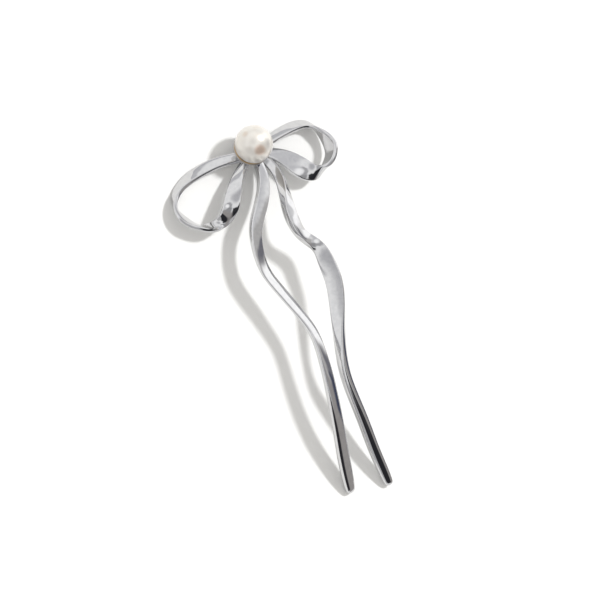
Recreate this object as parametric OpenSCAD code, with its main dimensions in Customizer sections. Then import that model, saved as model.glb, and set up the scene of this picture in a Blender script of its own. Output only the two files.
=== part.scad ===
// Two-prong hair fork: a bow of two open ribbon loops with two long wavy
// ribbon tails as its prongs, and a round pearl in a shallow cup on the knot.
// The head frame has its origin at the knot, X across the bow, -Y to the
// prong tips and Z along the pearl's axis. The whole fork is then laid down.

/* [Pearl] */
// Diameter of the pearl
pearl_d = 10; // [9:0.25:10.5]
// Height of the pearl's centre over the middle of the ribbons
pearl_height = 6.1; // [6:0.05:6.6]
// Diameter of the blind hole drilled up into the pearl
bore_d = 1.2; // [1:0.1:1.6]
// Depth of the blind hole
bore_depth = 5; // [4.6:0.1:7]

/* [Cup] */
// Space between the pearl and the cup
cup_gap = 0.2; // [0.1:0.05:0.3]
// Wall of the cup
cup_wall = 0.5; // [0.4:0.05:0.8]
// Angle from the cup's bottom up to its rim
cup_angle = 57; // [50:1:70]
// Diameter of the post that the pearl is set on
post_d = 0.9; // [0.6:0.05:0.9]
// Length of the post above the bottom of the pearl
post_reach = 4.2; // [3:0.1:4.4]

/* [Ribbons] */
// Factor on the width of every ribbon
width_factor = 1; // [0.9:0.02:1.1]
// Factor on the thickness of every ribbon
thick_factor = 1; // [0.9:0.02:1.2]
// Size of the softened edges
edge_soft = 0.22; // [0.1:0.01:0.3]
// How far the prongs arch down at the reference length
arch_drop = 24; // [16:0.5:28]
// Length from the knot at which the arch has its full drop
arch_length = 89; // [80:1:100]
// Length of the rounding on each prong's tip
tip_reach = 1.3; // [0.8:0.1:2]

/* [Knot] */
// Diameter of the round pad that joins the ribbons under the cup
pad_d = 5; // [4:0.1:6]
// Thickness of the pad below the middle of the ribbons
pad_depth = 0.9; // [0.6:0.1:1.2]

/* [Resting place] */
// Angle that brings the prong tips up level with the back of the bow
rest_pitch = -14.8; // [-20:0.1:-10]
// Sideways angle at which the fork lies
rest_roll = -1.1; // [-5:0.1:5]
// Shift that centres the lying fork from left to right
shift_x = 1.54; // [-5:0.01:5]
// Shift that centres the lying fork from tips to head
shift_y = 43.47; // [35:0.01:50]
// Shift that stands the lying fork on the surface
lift = 2.02; // [0:0.01:4]

/* [Hidden] */
// Columns of the ribbon tables: place in mm, width and thickness in mm, twist in degrees
col_x = 0;
col_y = 1;
col_z = 2;
col_width = 3;
col_thick = 4;
col_twist = 5;
// Rings between two rows of a table
steps = 4;
// Length by which a cutting shape passes what it cuts
over = 1;
// Facets round the pearl, the cup, the pad and the post
pearl_facets = 96;
cup_facets = 72;
pad_facets = 48;
post_facets = 32;
pearl_r = pearl_d / 2;
cup_inner = pearl_r + cup_gap;
cup_outer = cup_inner + cup_wall;
cup_rim = pearl_height - cup_outer * cos(cup_angle);
pearl_bottom = pearl_height - pearl_r;
// Angles of the rings that round a tip off
tip_angles = [24, 46, 64, 78];

// Left loop, from the knot out along its upper limb and back along its lower one
// x, y, z, width, thick, twist
left_loop = [
    [ -0.6,  -0.8,  0.4, 2.6, 1.2,  21],
    [ -4.5,  -0.4,  0.5, 3.0, 1.3,  21],
    [ -9.5,   0.2,  0.3, 3.5, 1.3,  22],
    [-15.0,  -0.3,  0.0, 3.8, 1.3,  27],
    [-20.6,  -1.8, -0.5, 3.4, 1.3,  46],
    [-24.1,  -4.4, -0.9, 3.3, 1.3,  74],
    [-25.0,  -8.0, -1.2, 3.8, 1.3, 120],
    [-23.5, -11.5, -1.4, 4.6, 1.3, 136],
    [-20.6, -14.3, -1.5, 4.2, 1.3, 110],
    [-17.0, -15.6, -1.2, 4.6, 1.4, 146],
    [-13.6, -14.6, -0.2, 5.4, 1.4, 228],
    [-10.7, -11.7,  0.8, 5.0, 1.3, 176],
    [ -8.4,  -8.1,  1.3, 4.2, 1.2, 148],
    [ -5.0,  -4.4,  0.9, 3.2, 1.1, 140],
    [ -0.8,  -1.2,  0.4, 2.6, 1.0, 140]
];

// Right loop, from the knot out along its upper limb and back along its lower one
// x, y, z, width, thick, twist
right_loop = [
    [  0.8,  -0.6,  0.4, 2.6, 1.1, -32],
    [  5.0,   0.6,  0.5, 3.0, 1.2, -32],
    [ 10.0,   1.8,  0.2, 3.6, 1.2, -32],
    [ 15.0,   2.5,  0.0, 4.0, 1.2, -34],
    [ 18.9,   1.7,  0.0, 4.0, 1.2, -46],
    [ 20.7,  -1.5,  0.0, 4.4, 1.2, -82],
    [ 22.1,  -5.5,  0.0, 5.0, 1.3, -114],
    [ 20.8,  -8.6,  0.0, 4.8, 1.3, -108],
    [ 17.9, -10.9,  0.0, 4.2, 1.4, -112],
    [ 14.8, -11.9,  0.0, 5.0, 1.4, -46],
    [ 12.0,  -9.9,  0.0, 6.2, 1.3,  -2],
    [  9.2,  -5.5,  0.2, 6.0, 1.2,  16],
    [  5.4,  -2.1,  0.4, 3.4, 1.1,  26],
    [  0.8,  -0.6,  0.4, 2.6, 1.0,  30]
];

// Left prong, from the knot to its tip
// x, y, z, width, thick, twist
left_prong = [
    [  0.8,  -0.6,  0.4, 2.6, 1.6, -15],
    [  1.2,  -7.2,  0.8, 3.0, 1.8, -15],
    [ -2.5, -13.8,  1.2, 3.9, 1.8, -15],
    [ -7.9, -19.3,  1.5, 3.8, 1.7, -18],
    [ -9.9, -26.0,  1.2, 3.6, 1.3, -28],
    [ -9.9, -31.5,  0.2, 3.8, 1.0, -32],
    [ -7.7, -37.0, -0.3, 3.7, 1.0, -32],
    [ -5.4, -43.4, -0.3, 3.3, 1.0, -30],
    [ -3.3, -49.5,  0.2, 3.1, 1.4, -30],
    [ -3.5, -55.6,  0.7, 3.2, 1.6, -28],
    [ -4.0, -61.7,  1.2, 3.4, 1.8, -22],
    [ -4.7, -68.0,  1.2, 3.5, 1.9, -17],
    [ -5.2, -74.2,  1.0, 3.6, 2.0, -14],
    [ -5.5, -80.0,  0.1, 3.7, 2.0, -13],
    [ -5.4, -85.0, -0.5, 3.6, 2.1, -13],
    [ -5.2, -87.9, -0.8, 3.1, 1.9, -13]
];

// Right prong, from the knot to its tip
// x, y, z, width, thick, twist
right_prong = [
    [  0.8,  -0.6,  0.4, 1.6, 2.6, -52],
    [  4.2,  -4.6,  0.6, 1.6, 2.6, -56],
    [  4.6,  -9.0,  1.1, 1.6, 2.6, -56],
    [  3.7, -13.0,  2.0, 2.3, 2.6, -52],
    [  2.8, -16.4,  2.6, 3.0, 2.6, -32],
    [  2.1, -19.8,  2.9, 3.5, 2.6, -12],
    [  2.1, -23.1,  2.8, 3.5, 2.5, -26],
    [  2.8, -25.7,  1.9, 3.2, 1.9, -16],
    [  4.7, -27.8,  1.1, 3.3, 1.7,  -4],
    [  6.7, -30.3,  0.8, 3.8, 1.5,  10],
    [  6.8, -34.2,  0.8, 4.8, 1.2,  26],
    [  7.1, -39.5,  0.5, 4.8, 1.1,  31],
    [  5.8, -44.5,  0.3, 4.5, 1.2,  30],
    [  4.0, -49.8,  0.0, 3.6, 1.6,  32],
    [  2.4, -55.0,  0.0, 3.0, 1.9,  37],
    [  0.9, -62.0, -0.3, 2.7, 2.3,  51],
    [  1.6, -68.5, -0.8, 2.8, 2.6,  58],
    [  2.5, -74.5, -0.8, 2.9, 2.8,  64],
    [  3.2, -81.0, -0.5, 2.9, 2.8,  70],
    [  4.4, -86.0, -0.2, 2.7, 2.8,  75],
    [  5.5, -89.5,  0.0, 2.3, 2.5,  78]
];

// Vectors
function unit(v) = v / norm(v);
function mean(points) = [for (k = [0 : 2]) sum([for (p = points) p[k]]) / len(points)];
function sum(values, i = 0) = i < len(values) ? values[i] + sum(values, i + 1) : 0;

// A row's place, with the arch of the prongs added to its height
function arch(y) = arch_drop * pow(max(-y, 0) / arch_length, 3);
function place(row) = [row[col_x], row[col_y], row[col_z] - arch(row[col_y])];

// Direction of travel at row i
function way(rows, i) =
    unit(place(rows[min(i + 1, len(rows) - 1)]) - place(rows[max(i - 1, 0)]));

// Outline of a flat ribbon's section with softened edges
function outline(width, thick) =
    let (w = width_factor * width / 2, t = thick_factor * thick / 2, s = edge_soft)
    [[w, t - s], [w - s, t], [s - w, t], [-w, t - s],
     [-w, s - t], [s - w, -t], [w - s, -t], [w, s - t]];

// The section standing at row i, turned about the way by its twist
function section(rows, i) =
    let (row = rows[i], along = way(rows, i))
    let (side = unit(cross([0, 0, 1], along)), up = cross(along, side))
    let (across = cos(row[col_twist]) * side + sin(row[col_twist]) * up)
    let (through = cross(along, across))
    [for (p = outline(row[col_width], row[col_thick])) place(row) + p[0] * across + p[1] * through];

// Smooth ring between the sections b and c, at share t of the span
function blend(a, b, c, d, t) =
    (pow(1 - t, 3) * a + (3 * pow(t, 3) - 6 * pow(t, 2) + 4) * b
    + (1 + 3 * t + 3 * pow(t, 2) - 3 * pow(t, 3)) * c + pow(t, 3) * d) / 6;

// Rings of the whole ribbon, with a mirrored section past each end
function rings(rows) =
    let (last = len(rows) - 1, cage = [for (i = [0 : last]) section(rows, i)])
    let (before = 2 * cage[0] - cage[1], after = 2 * cage[last] - cage[last - 1])
    let (all = concat([before], cage, [after]))
    [for (i = [0 : last - 1], s = [0 : i < last - 1 ? steps - 1 : steps])
        blend(all[i], all[i + 1], all[i + 2], all[i + 3], s / steps)];

// Rings that round off the end of a prong
function tip(list) =
    let (end = list[len(list) - 1], centre = mean(end))
    let (along = unit(centre - mean(list[len(list) - 2])))
    [for (a = tip_angles) [for (p = end) centre + cos(a) * (p - centre) + tip_reach * sin(a) * along]];

function slice(list, first, last) = [for (i = [first : last]) list[i]];

// Solid skin over a row of rings
module skin(list) {
    n = len(list[0]);
    far = n * (len(list) - 1);
    points = [for (ring = list) each ring];
    start_cap = [for (j = [1 : n - 2]) [0, j, j + 1]];
    end_cap = [for (j = [1 : n - 2]) [far, far + j + 1, far + j]];
    lower = [for (i = [0 : n : far - n], j = [0 : n - 1]) [i + j, i + n + j, i + n + (j + 1) % n]];
    upper = [for (i = [0 : n : far - n], j = [0 : n - 1]) [i + j, i + n + (j + 1) % n, i + (j + 1) % n]];
    polyhedron(points, concat(start_cap, lower, upper, end_cap));
}

// A loop is two limbs that share the ring at its far end
module loop(rows) {
    list = rings(rows);
    middle = floor(len(list) / 2);
    skin(slice(list, 0, middle));
    skin(slice(list, middle, len(list) - 1));
}

module prong(rows) {
    list = rings(rows);
    skin(concat(list, tip(list)));
}

// Outside of the cup, cut off level at its rim
module cup_body() {
    intersection() {
        translate([0, 0, pearl_height]) sphere(r = cup_outer, $fn = cup_facets);
        translate([0, 0, -cup_outer]) cylinder(r = cup_outer + over, h = cup_outer + cup_rim);
    }
}

module pad() {
    translate([0, 0, -pad_depth]) cylinder(d = pad_d, h = pad_depth + pearl_bottom, $fn = pad_facets);
}

module post() {
    cylinder(d = post_d, h = pearl_bottom + post_reach, $fn = post_facets);
}

// Turns the head frame to the way the fork lies on a flat surface
module lying() {
    translate([shift_x, shift_y, lift]) rotate([rest_pitch, rest_roll, 0]) children();
}

module hair_fork() {
    color("silver") lying() union() {
        difference() {
            union() {
                loop(left_loop);
                loop(right_loop);
                prong(left_prong);
                prong(right_prong);
                cup_body();
                pad();
            }
            translate([0, 0, pearl_height]) sphere(r = cup_inner, $fn = cup_facets);
        }
        post();
    }
}

module pearl() {
    color("ivory") lying() difference() {
        translate([0, 0, pearl_height]) sphere(r = pearl_r, $fn = pearl_facets);
        translate([0, 0, pearl_bottom - over]) cylinder(d = bore_d, h = bore_depth + over, $fn = post_facets);
    }
}

hair_fork();
pearl();
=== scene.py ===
import math

import bpy
from mathutils import Matrix, Vector


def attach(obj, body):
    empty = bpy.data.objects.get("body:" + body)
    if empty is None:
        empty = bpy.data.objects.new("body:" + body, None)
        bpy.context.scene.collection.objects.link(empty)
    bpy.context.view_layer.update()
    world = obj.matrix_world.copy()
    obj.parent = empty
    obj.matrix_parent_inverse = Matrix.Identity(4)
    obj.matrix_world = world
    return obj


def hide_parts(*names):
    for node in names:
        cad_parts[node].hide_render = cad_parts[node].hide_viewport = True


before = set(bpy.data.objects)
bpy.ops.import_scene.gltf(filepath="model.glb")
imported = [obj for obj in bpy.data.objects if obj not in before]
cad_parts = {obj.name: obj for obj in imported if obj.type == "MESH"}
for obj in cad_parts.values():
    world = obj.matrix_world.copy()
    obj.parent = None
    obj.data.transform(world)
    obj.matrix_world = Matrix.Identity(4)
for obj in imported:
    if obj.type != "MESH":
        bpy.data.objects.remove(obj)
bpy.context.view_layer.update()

mm = 0.001
print("frame loaded", sorted(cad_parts))

# The head frame has the knot at its origin, X across the bow, -Y to the prong tips
# and Z along the pearl's axis. Its lengths are in millimetres. This lays it down.
lying = {"pitch": -14.8, "roll": -1.1, "shift": (1.54, 43.47, 2.02)}
layDown = (Matrix.Scale(mm, 4)
           @ Matrix.Translation(lying["shift"])
           @ Matrix.Rotation(math.radians(lying["roll"]), 4, "Y")
           @ Matrix.Rotation(math.radians(lying["pitch"]), 4, "X"))
headTurn = layDown.to_quaternion()


def toRow(way):
    # a direction of the head frame, as the fork lies
    return headTurn @ Vector(way)


def onAxis(height):
    # a point of the pearl's axis, as the fork lies
    return layDown @ Vector((0, 0, height))


class Wire:
    # an output socket; arithmetic on wires and numbers adds Math nodes
    def __init__(self, shader, socket):
        self.shader = shader
        self.socket = socket

    def __add__(self, other):
        return self.shader.maths("ADD", self, other)

    def __sub__(self, other):
        return self.shader.maths("SUBTRACT", self, other)

    def __rsub__(self, other):
        return self.shader.maths("SUBTRACT", other, self)

    def __mul__(self, other):
        return self.shader.maths("MULTIPLY", self, other)

    __radd__ = __add__
    __rmul__ = __mul__

    def smooth(self, low, high):
        # 0 up to low, 1 from high on
        return self.shader.node("ShaderNodeMapRange", {"interpolation_type": "SMOOTHSTEP"},
                                {"Value": self, "From Min": low, "From Max": high})


class Shader:
    # the node tree of a material or a world
    def __init__(self, owner):
        owner.use_nodes = True
        self.tree = owner.node_tree
        self.tree.nodes.clear()

    def node(self, kind, settings=None, sockets=None, output=0):
        made = self.tree.nodes.new(kind)
        for name, value in (settings or {}).items():
            setattr(made, name, value)
        for name, value in (sockets or {}).items():
            if isinstance(value, Wire):
                self.tree.links.new(value.socket, made.inputs[name])
            else:
                made.inputs[name].default_value = value
        return Wire(self, made.outputs[output]) if made.outputs else None

    def maths(self, operation, first, second=0.0):
        return self.node("ShaderNodeMath", {"operation": operation}, {0: first, 1: second})

    def measure(self, operation, first, second):
        # a dot product or a distance of two vectors
        return self.node("ShaderNodeVectorMath", {"operation": operation},
                         {0: first, 1: second}, output="Value")

    def mixColours(self, factor, first, second):
        # a Mix node's colour sockets have names that its other sockets share
        first, second = (c if isinstance(c, Wire) else (*c, 1.0) for c in (first, second))
        return self.node("ShaderNodeMix", {"data_type": "RGBA"},
                         {"Factor": factor, 6: first, 7: second}, output=2)

    def noise(self, place, look):
        scale, detail = look
        return self.node("ShaderNodeTexNoise", {},
                         {"Vector": place, "Scale": scale, "Detail": detail})

    def surface(self, sockets):
        made = self.node("ShaderNodeBsdfPrincipled", {}, sockets)
        self.node("ShaderNodeOutputMaterial", {}, {"Surface": made})


def startMaterial(name):
    material = bpy.data.materials.new(name)
    shader = Shader(material)
    return material, shader, shader.node("ShaderNodeTexCoord", output="Object")


def giveMaterial(piece, material):
    piece.data.materials.clear()
    piece.data.materials.append(material)


def useOnly(piece):
    bpy.ops.object.select_all(action="DESELECT")
    piece.select_set(True)
    bpy.context.view_layer.objects.active = piece


def applyModifier(piece, kind, **settings):
    useOnly(piece)
    modifier = piece.modifiers.new(kind.lower(), kind)
    for name, value in settings.items():
        setattr(modifier, name, value)
    bpy.ops.object.modifier_apply(modifier=modifier.name)


def combine(piece, other, operation):
    applyModifier(piece, "BOOLEAN", object=other, operation=operation, solver="MANIFOLD")
    bpy.data.objects.remove(other)


def takePlace():
    # the new object's place and turn go into its mesh
    bpy.ops.object.transform_apply(location=True, rotation=True, scale=True)
    return bpy.context.object


# The ribbons. A row has the middle's x, y and z, the width and the thickness in mm,
# the twist in degrees, and how soft the edges are in mm.
leftLoop = [
    (-0.6, -0.8, 0.4, 2.6, 1.2, 21, 0.45),
    (-4.5, -0.4, 0.5, 3.0, 1.3, 21, 0.45),
    (-9.5, 0.2, 0.3, 3.5, 1.3, 22, 0.45),
    (-15.0, -0.3, 0.0, 3.8, 1.3, 27, 0.45),
    (-20.6, -1.8, -0.5, 3.4, 1.3, 46, 0.45),
    (-24.1, -4.4, -0.9, 3.3, 1.3, 74, 0.45),
    (-25.0, -8.0, -1.2, 3.8, 1.3, 120, 0.45),
    (-23.5, -11.5, -1.4, 4.6, 1.3, 136, 0.45),
    (-20.6, -14.3, -1.5, 4.2, 1.3, 110, 0.45),
    (-17.0, -15.6, -1.2, 4.6, 1.4, 146, 0.45),
    (-13.6, -14.6, -0.2, 5.4, 1.4, 228, 0.45),
    (-10.7, -11.7, 0.8, 5.0, 1.3, 176, 0.45),
    (-8.4, -8.1, 1.3, 4.2, 1.2, 148, 0.45),
    (-5.0, -4.4, 0.9, 3.2, 1.1, 140, 0.45),
    (-0.8, -1.2, 0.4, 2.6, 1.0, 140, 0.45),
]
rightLoop = [
    (0.8, -0.6, 0.4, 2.6, 1.1, -32, 0.45),
    (5.0, 0.6, 0.5, 3.0, 1.2, -32, 0.45),
    (10.0, 1.8, 0.2, 3.6, 1.2, -32, 0.45),
    (15.0, 2.5, 0.0, 4.0, 1.2, -34, 0.45),
    (18.9, 1.7, 0.0, 4.0, 1.2, -46, 0.45),
    (20.7, -1.5, 0.0, 4.4, 1.2, -82, 0.45),
    (22.1, -5.5, 0.0, 5.0, 1.3, -114, 0.45),
    (20.8, -8.6, 0.0, 4.8, 1.3, -108, 0.45),
    (17.9, -10.9, 0.0, 4.2, 1.4, -112, 0.45),
    (14.8, -11.9, 0.0, 5.0, 1.4, -46, 0.45),
    (12.0, -9.9, 0.0, 6.2, 1.3, -2, 0.45),
    (9.2, -5.5, 0.2, 6.0, 1.2, 16, 0.45),
    (5.4, -2.1, 0.4, 3.4, 1.1, 26, 0.45),
    (0.8, -0.6, 0.4, 2.6, 1.0, 30, 0.45),
]
leftProng = [
    (0.8, -0.6, 0.4, 2.6, 1.6, -15, 0.4),
    (1.2, -7.2, 0.8, 3.0, 1.8, -15, 0.4),
    (-2.5, -13.8, 1.2, 3.9, 1.8, -15, 0.4),
    (-7.9, -19.3, 1.5, 3.8, 1.7, -18, 0.4),
    (-9.9, -26.0, 1.2, 3.6, 1.3, -28, 0.35),
    (-9.9, -31.5, 0.2, 3.8, 1.0, -28, 0.35),
    (-7.7, -37.0, -0.3, 3.7, 1.0, -27, 0.35),
    (-5.4, -43.4, -0.3, 3.3, 1.0, -26, 0.35),
    (-3.3, -49.5, 0.2, 3.1, 1.4, -27, 0.5),
    (-3.5, -55.6, 0.7, 3.2, 1.6, -28, 0.6),
    (-4.0, -61.7, 1.2, 3.4, 1.8, -22, 0.7),
    (-4.65, -68.0, 1.2, 3.5, 1.9, -17, 0.8),
    (-5.15, -74.2, 1.0, 3.6, 2.0, -14, 0.85),
    (-5.45, -80.0, 0.1, 3.7, 2.0, -13, 0.85),
    (-5.4, -85.0, -0.5, 3.6, 2.1, -13, 0.85),
    (-5.2, -87.9, -0.8, 3.1, 1.9, -13, 0.8),
]
rightProng = [
    (0.8, -0.6, 0.4, 1.6, 2.6, -52, 0.35),
    (4.2, -4.6, 0.6, 1.6, 2.6, -56, 0.35),
    (4.6, -9.0, 1.1, 1.6, 2.6, -56, 0.35),
    (3.7, -13.0, 2.0, 2.3, 2.6, -52, 0.4),
    (2.8, -16.4, 2.6, 3.0, 2.6, -32, 0.5),
    (2.1, -19.8, 2.9, 3.5, 2.6, -12, 0.5),
    (2.1, -23.1, 2.8, 3.5, 2.5, -34, 0.45),
    (2.8, -25.7, 1.9, 3.2, 1.9, -25, 0.35),
    (4.7, -27.8, 1.1, 3.3, 1.7, -8, 0.3),
    (6.7, -30.3, 0.8, 3.8, 1.5, 10, 0.4),
    (6.8, -34.2, 0.8, 4.8, 1.2, 26, 0.5),
    (7.1, -39.5, 0.5, 4.8, 1.1, 31, 0.5),
    (5.8, -44.5, 0.3, 4.5, 1.2, 30, 0.5),
    (4.0, -49.8, 0.0, 3.6, 1.6, 34, 0.55),
    (2.4, -55.0, 0.0, 3.0, 1.9, 52, 0.7),
    (0.95, -62.0, -0.3, 2.8, 2.3, 78, 0.85),
    (1.73, -68.5, -0.8, 3.0, 2.6, 88, 0.92),
    (2.67, -74.5, -0.8, 3.1, 2.8, 93, 0.95),
    (3.37, -81.0, -0.5, 3.1, 2.8, 96, 0.95),
    (4.53, -86.0, -0.2, 2.9, 2.8, 97, 0.95),
    (5.45, -89.5, 0.0, 2.4, 2.5, 98, 0.95),
]
ribbon = {
    "archDrop": 24.0,  # how far the prongs bend down over the arch's length
    "archLength": 89.0,
    "bulge": 0.04,  # height of the faces' middle by their half width
    "bulgeHalfway": 0.75,
    "softest": 0.9,  # most softness by half the thickness
    "cornerCut": 0.24,
    "tipReach": 1.3,
    "tipAngles": (38, 66, 84),
    "smoothing": 3,
}


def rowPlace(row):
    x, y, z = row[:3]
    bend = (max(-y, 0) / ribbon["archLength"]) ** 3
    return Vector((x, y, z - ribbon["archDrop"] * bend))


def sectionOutline(width, thick, soft):
    # two slightly raised faces and softened edges
    w, t = width / 2, thick / 2
    s = min(soft, ribbon["softest"] * t)
    flat = w - s
    rise = ribbon["bulge"] * flat
    halfway = t + ribbon["bulgeHalfway"] * rise
    corner = ribbon["cornerCut"] * s
    face = [(w, t - s), (w - corner, t - corner), (flat, t), (flat / 2, halfway), (0, t + rise),
            (-flat / 2, halfway), (-flat, t), (corner - w, t - corner), (-w, t - s)]
    return face + [(-a, -b) for a, b in face]


def sectionAt(rows, i):
    *_, width, thick, twist, soft = rows[i]
    last = len(rows) - 1
    before, here, after = (rowPlace(rows[j]) for j in (max(i - 1, 0), i, min(i + 1, last)))
    along = (after - before).normalized()
    side = Vector((0, 0, 1)).cross(along).normalized()
    up = along.cross(side)
    turn = math.radians(twist)
    across = math.cos(turn) * side + math.sin(turn) * up
    through = along.cross(across)
    return [here + a * across + b * through for a, b in sectionOutline(width, thick, soft)]


def beyond(ring, neighbour):
    # the next ring outwards, so that the smoothed ribbon reaches its last row
    return [2 * a - b for a, b in zip(ring, neighbour)]


def tipRings(ring, neighbour):
    # rings that close in a rounded tip
    end, inner = (sum(r, Vector()) / len(r) for r in (ring, neighbour))
    along = (end - inner).normalized()
    rings = []
    for angle in ribbon["tipAngles"]:
        turn = math.radians(angle)
        ahead = ribbon["tipReach"] * math.sin(turn) * along
        rings.append([end + math.cos(turn) * (p - end) + ahead for p in ring])
    return rings


def makeRibbon(name, rows, tipped):
    # a disc is extruded once for every row, and its rings are set at the rows
    rings = [sectionAt(rows, i) for i in range(len(rows))]
    before = beyond(rings[0], rings[1])
    if tipped:
        after = tipRings(rings[-1], rings[-2])
    else:
        after = [beyond(rings[-1], rings[-2])]
    rings = [before] + rings + after
    count = len(before)
    bpy.ops.mesh.primitive_circle_add(vertices=count, radius=1, fill_type="NGON")
    piece = bpy.context.object
    piece.name = name
    bpy.ops.object.mode_set(mode="EDIT")
    bpy.ops.mesh.select_all(action="SELECT")
    for _ in rings[1:]:
        bpy.ops.mesh.extrude_region_move(TRANSFORM_OT_translate={"value": (0, 0, 1)})
    bpy.ops.object.mode_set(mode="OBJECT")
    for vertex in piece.data.vertices:
        x, y, level = vertex.co
        corner = round(math.atan2(y, x) / (2 * math.pi) * count) % count
        vertex.co = layDown @ rings[round(level)][corner]
    bpy.ops.object.mode_set(mode="EDIT")
    bpy.ops.mesh.select_all(action="SELECT")
    bpy.ops.mesh.normals_make_consistent(inside=False)
    bpy.ops.object.mode_set(mode="OBJECT")
    levels = ribbon["smoothing"]
    applyModifier(piece, "SUBSURF", levels=levels, render_levels=levels)
    return piece


forkParts = [
    makeRibbon("leftLoopRibbon", leftLoop, False),
    makeRibbon("rightLoopRibbon", rightLoop, False),
    makeRibbon("leftProngRibbon", leftProng, True),
    makeRibbon("rightProngRibbon", rightProng, True),
]
print("ribbons made", [len(p.data.polygons) for p in forkParts])

# The pearl's own sizes, its height above the knot, and those of the cup, pad and peg, in mm
# and degrees.
pearlSize = {
    "radius": 5.0,
    "height": 6.1,
    "boreRadius": 0.6,
    "boreDepth": 5.0,
    "boreOverrun": 1.0,  # how far the hole's cutter stands out below
    "boreSegments": 48,
    "segments": 128,
    "rings": 96,
    "shadeAngle": 38,
}
cup = {
    "gap": 0.2,
    "wall": 0.5,
    "angle": 57,  # from the lowest point to the rim
    "segments": 96,
    "rings": 48,
    "padRadius": 2.5,
    "padDepth": 0.9,
    "padTop": 1.1,
    "padEdge": 0.3,
    "padSegments": 48,
    "pegRadius": 0.45,
    "pegFoot": 0.2,
    "pegReach": 4.2,
    "pegSegments": 32,
    "pegEdge": 0.12,
    "edgeSegments": 3,
    "edgeAngle": 40,
    "shadeAngle": 38,
}
pearlFoot = pearlSize["height"] - pearlSize["radius"]


def addBall(radius, sizes):
    bpy.ops.mesh.primitive_uv_sphere_add(
        segments=sizes["segments"], ring_count=sizes["rings"], radius=radius * mm,
        location=onAxis(pearlSize["height"]), rotation=headTurn.to_euler())
    return takePlace()


def addRod(radius, low, high, segments):
    bpy.ops.mesh.primitive_cylinder_add(
        vertices=segments, radius=radius * mm, depth=(high - low) * mm,
        location=onAxis((low + high) / 2), rotation=headTurn.to_euler())
    return takePlace()


def roundEdges(piece, width):
    applyModifier(piece, "BEVEL", width=width * mm, segments=cup["edgeSegments"],
                  limit_method="ANGLE", angle_limit=math.radians(cup["edgeAngle"]))


def finishPiece(piece, name, shadeAngle):
    useOnly(piece)
    bpy.ops.object.shade_smooth_by_angle(angle=math.radians(shadeAngle))
    piece.name = name
    return piece


def makeCup():
    # the bottom of a ball, cut off at the rim, on a round pad
    outer = pearlSize["radius"] + cup["gap"] + cup["wall"]
    rim = pearlSize["height"] - outer * math.cos(math.radians(cup["angle"]))
    bowl = addBall(outer, cup)
    bpy.ops.object.mode_set(mode="EDIT")
    bpy.ops.mesh.select_all(action="SELECT")
    bpy.ops.mesh.bisect(plane_co=onAxis(rim), plane_no=toRow((0, 0, 1)),
                        clear_outer=True, use_fill=True)
    bpy.ops.object.mode_set(mode="OBJECT")
    pad = addRod(cup["padRadius"], -cup["padDepth"], cup["padTop"], cup["padSegments"])
    roundEdges(pad, cup["padEdge"])
    combine(bowl, pad, "UNION")
    return bowl


def makeFork():
    # the ribbons join the cup before it is hollowed for the pearl, and the peg comes last
    joined = makeCup()
    for part in forkParts:
        combine(joined, part, "UNION")
    combine(joined, addBall(pearlSize["radius"] + cup["gap"], cup), "DIFFERENCE")
    peg = addRod(cup["pegRadius"], cup["pegFoot"], pearlFoot + cup["pegReach"], cup["pegSegments"])
    roundEdges(peg, cup["pegEdge"])
    combine(joined, peg, "UNION")
    return finishPiece(joined, "polished_fork", cup["shadeAngle"])


def makePearl():
    # a ball with a blind hole from below
    bead = addBall(pearlSize["radius"], pearlSize)
    hole = addRod(pearlSize["boreRadius"], pearlFoot - pearlSize["boreOverrun"],
                  pearlFoot + pearlSize["boreDepth"], pearlSize["boreSegments"])
    combine(bead, hole, "DIFFERENCE")
    return finishPiece(bead, "nacre_pearl", pearlSize["shadeAngle"])


fork = makeFork()
print("fork joined", len(fork.data.polygons))
pearl = makePearl()
print("pearl made", len(pearl.data.polygons))

# Noises are a scale and a detail.
metalLook = {
    "colour": (0.63, 0.63, 0.635),
    "dull": (0.59, 0.59, 0.60),
    "dullRange": (0.35, 0.7),
    "haze": (900.0, 3.0),
    "roughness": 0.03,
    "hazeRoughness": 0.03,
    "ripples": (260.0, 1.0),
    "rippleStrength": 0.12,
    "rippleHeight": 0.0002,
    # painted reflection: a warm brown that stands in for the pearl mirrored in the cup
    "pearlReflection": (0.62, 0.45, 0.27),
    "pearlReflectionRange": (5.4, 5.5),  # where the painted reflection of the pearl ends, in mm from the pearl's middle
}
nacreLook = {
    "cream": (0.76, 0.73, 0.68),
    "rose": (0.68, 0.60, 0.51),
    "clouds": (210.0, 2.0),
    "cloudRange": (0.45, 0.75),
    "edge": (0.80, 0.78, 0.74),
    "edgeBlend": 0.35,
    "edgeRange": (0.5, 1.0),
    # painted reflections, darker warm patches that stand in for surroundings mirrored in the
    # pearl: place from the middle in the head frame, inner and outer radius, colour
    "paintedReflections": [
        ((-0.74, -3.05, 3.89), 0.8, 2.0, (0.70, 0.56, 0.47)),
        ((-2.47, 2.48, 3.57), 0.3, 1.3, (0.68, 0.60, 0.52)),
    ],
    "metallic": 0.5,
    "roughness": 0.34,
    "coat": 0.9,
    "coatRoughness": 0.16,
    "coatIor": 1.8,
}


def polishedMetal():
    look = metalLook
    material, shader, place = startMaterial("polishedMetal")
    haze = shader.noise(place, look["haze"])
    relief = shader.node("ShaderNodeBump", {}, {
        "Strength": look["rippleStrength"], "Distance": look["rippleHeight"],
        "Height": shader.noise(place, look["ripples"])})
    colour = shader.mixColours(haze.smooth(*look["dullRange"]), look["colour"], look["dull"])
    # painted reflection: the cup is coloured warm brown where it lies close to the pearl, standing
    # in for the pearl mirrored in it
    away = shader.measure("DISTANCE", place, onAxis(pearlSize["height"])) * (1 / mm)
    colour = shader.mixColours(away.smooth(*look["pearlReflectionRange"]), look["pearlReflection"], colour)
    shader.surface({"Base Color": colour, "Metallic": 1.0, "Normal": relief,
                    "Roughness": look["roughness"] + look["hazeRoughness"] * haze})
    return material


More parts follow.
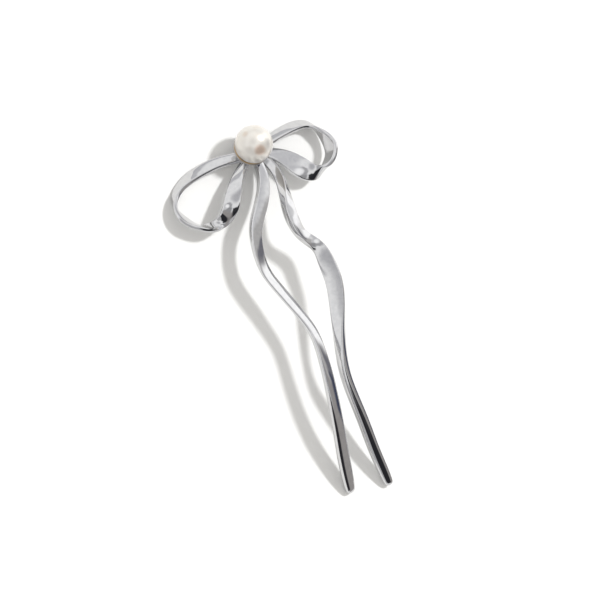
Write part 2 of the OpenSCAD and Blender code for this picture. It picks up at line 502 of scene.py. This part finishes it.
def nacre():
    look = nacreLook
    material, shader, place = startMaterial("pearlNacre")
    clouds = shader.noise(place, look["clouds"])
    facing = shader.node("ShaderNodeLayerWeight", {}, {"Blend": look["edgeBlend"]},
                         output="Facing")
    colour = shader.mixColours(clouds.smooth(*look["cloudRange"]), look["cream"], look["rose"])
    colour = shader.mixColours(facing.smooth(*look["edgeRange"]), colour, look["edge"])
    # painted reflections: darker warm patches laid into the pearl's colour at fixed places
    for way, inner, outer, tone in look["paintedReflections"]:
        reflectedSpot = onAxis(pearlSize["height"]) + toRow(way) * mm
        away = shader.measure("DISTANCE", place, reflectedSpot) * (1 / mm)
        colour = shader.mixColours(away.smooth(inner, outer), tone, colour)
    shader.surface({"Base Color": colour, "Metallic": look["metallic"],
                    "Roughness": look["roughness"], "Coat Weight": look["coat"],
                    "Coat Roughness": look["coatRoughness"], "Coat IOR": look["coatIor"]})
    return material


giveMaterial(fork, polishedMetal())
giveMaterial(pearl, nacre())
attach(fork, "root")
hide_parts("hair_fork")
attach(pearl, "root")
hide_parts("pearl")
for name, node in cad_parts.items():
    giveMaterial(node, (pearl if name == "pearl" else fork).data.materials[0])
print("materials given")

table = {
    "size": 6.0,
    "drop": 0.03,  # in mm under the fork
    "pale": (0.90, 0.90, 0.895),
    "paler": (0.92, 0.92, 0.915),
    "grain": (60.0, 4.0),
    "roughness": 0.9,
    "specular": 0.1,
}


def makeFloor():
    bpy.ops.mesh.primitive_plane_add(size=table["size"], location=(0, 0, -table["drop"] * mm))
    floor = bpy.context.object
    floor.name = "studio_floor"
    material, shader, place = startMaterial("paleTable")
    colour = shader.mixColours(shader.noise(place, table["grain"]), table["pale"], table["paler"])
    shader.surface({"Base Color": colour, "Roughness": table["roughness"],
                    "Specular IOR Level": table["specular"]})
    giveMaterial(floor, material)


# What the metal mirrors. Front is a direction's angle in the head frame from the tips' side
# towards the right, rise is its angle above the bow's plane, both in degrees.
surroundings = {
    "dome": (1.10, 1.10, 1.10),
    "backdrop": (1.06, 1.06, 1.06),
    "fill": (0.70, 0.69, 0.67),
    # angle above the floor, softness and colour of the darker ring along the horizon
    "ring": (9, 2.0, (0.70, 0.70, 0.72)),
    # front range, rise range, softness, colour
    "zones": [
        ((100, 150), (18, 50), 8.0, (0.80, 0.80, 0.82)),
        ((72, 112), (44, 80), 7.0, (0.78, 0.78, 0.80)),
        ((46, 118), (62, 80), 5.0, (0.55, 0.55, 0.56)),
        ((38, 72), (38, 64), 6.0, (0.42, 0.42, 0.43)),
        ((86, 118), (-12, 30), 3.0, (1.5, 1.5, 1.5)),
        ((70, 88), (-8, 43), 4.0, (0.62, 0.61, 0.60)),
        ((25, 70), (-8, 43), 6.0, (0.42, 0.40, 0.39)),
        ((70, 86), (8, 24), 3.0, (0.24, 0.24, 0.27)),
        ((56, 75), (-12, 26), 3.0, (0.08, 0.09, 0.14)),
        ((-78, -20), (-5, 44), 5.0, (0.56, 0.56, 0.57)),
        ((-20, 33), (5, 50), 4.0, (0.03, 0.03, 0.035)),
        ((8, 31), (42, 60), 3.0, (0.05, 0.05, 0.055)),
    ],
    # front, rise, inner and outer radius, colour
    "discs": [
        (-103, 69, 5, 29, (0.62, 0.62, 0.64)),
        (88, 60, 2, 12, (1.3, 1.3, 1.3)),
    ],
}


def makeWorld():
    world = bpy.data.worlds.new("softStudio")
    bpy.context.scene.world = world
    shader = Shader(world)
    way = shader.node("ShaderNodeTexCoord", output="Generated")
    x, y, z = (shader.measure("DOT_PRODUCT", way, toRow(axis))
               for axis in ((1, 0, 0), (0, 1, 0), (0, 0, 1)))
    upward = shader.measure("DOT_PRODUCT", way, (0.0, 0.0, 1.0))
    degrees = math.degrees(1)
    front = shader.maths("ARCTAN2", x, 0 - y) * degrees
    rise = shader.maths("ARCSINE", z) * degrees
    height = shader.maths("ARCSINE", upward) * degrees

    def band(angle, low, high, soft):
        # 1 between two angles, with soft ends
        return angle.smooth(low - soft, low + soft) - angle.smooth(high - soft, high + soft)

    high, soft, tone = surroundings["ring"]
    above = height.smooth(high - soft, high + soft)
    colour = shader.mixColours(above, tone, surroundings["dome"])
    for frontRange, riseRange, soft, tone in surroundings["zones"]:
        mask = band(front, *frontRange, soft) * band(rise, *riseRange, soft)
        colour = shader.mixColours(mask, colour, tone)
    for discFront, discRise, inner, outer, tone in surroundings["discs"]:
        around, over, inner, outer = (math.radians(a) for a in (discFront, discRise, inner, outer))
        middle = (math.sin(around) * math.cos(over), -math.cos(around) * math.cos(over),
                  math.sin(over))
        near = shader.measure("DOT_PRODUCT", way, toRow(middle))
        colour = shader.mixColours(near.smooth(math.cos(outer), math.cos(inner)), colour, tone)

    # the floor is lit evenly, and the camera sees a plain pale backdrop
    seen = shader.node("ShaderNodeLightPath", output="Is Camera Ray")
    mirrored = shader.node("ShaderNodeLightPath", output="Is Glossy Ray")
    colour = shader.mixColours(mirrored, surroundings["fill"], colour)
    colour = shader.mixColours(seen, colour, surroundings["backdrop"])
    light = shader.node("ShaderNodeBackground", {}, {"Color": colour})
    shader.node("ShaderNodeOutputWorld", {}, {"Surface": light})


# Each light's direction in the head frame, its strength and its width in degrees.
lamps = {
    "keyLight": {"way": (0.533, -0.069, 0.843), "strength": 2.05, "angle": 7.0},
    "pearlGlint": {"way": (0.540, 0.097, 0.837), "strength": 1.2, "angle": 7.0},
}


def addSun(name):
    look = lamps[name]
    bpy.ops.object.light_add(type="SUN")
    lamp = bpy.context.object
    lamp.name = name
    lamp.rotation_euler = toRow(look["way"]).to_track_quat("Z", "Y").to_euler()
    lamp.data.energy = look["strength"]
    lamp.data.angle = math.radians(look["angle"])
    return lamp


def makeLamps():
    # the metal doesn't mirror the key light, and the pearl's highlight is a light of its own
    addSun("keyLight").visible_glossy = False
    glint = addSun("pearlGlint")
    glint.visible_diffuse = False
    onPearl = bpy.data.collections.new("onPearl")
    onPearl.objects.link(pearl)
    glint.light_linking.receiver_collection = onPearl


# The camera's axes in the head frame, the picture's centre along the first two, how far the
# camera stands and how much it sees across, in mm.
viewing = {
    "right": (0.8728, -0.4201, 0.2484),
    "up": (0.3268, 0.8811, 0.3419),
    "back": (-0.3625, -0.2172, 0.9063),
    "centre": (13.5, -38.4),
    "distance": 4000.0,
    "across": 155.8,
    "sensor": 36.0,
    "nearest": 10.0,
}


def makeCamera():
    axes = [Vector(viewing[k]) for k in ("right", "up", "back")]
    right, up, back = axes
    aim = viewing["centre"][0] * right + viewing["centre"][1] * up
    turn = Matrix([toRow(v) for v in axes]).transposed()
    bpy.ops.object.camera_add()
    camera = bpy.context.object
    camera.matrix_world = Matrix.LocRotScale(layDown @ (aim + viewing["distance"] * back),
                                             turn.to_quaternion(), None)
    camera.data.sensor_width = viewing["sensor"]
    camera.data.lens = viewing["sensor"] * viewing["distance"] / viewing["across"]
    camera.data.clip_start = viewing["nearest"] * mm
    bpy.context.scene.camera = camera


makeFloor()
makeWorld()
makeLamps()
makeCamera()
bpy.context.scene.view_settings.view_transform = "Standard"
print("studio ready")
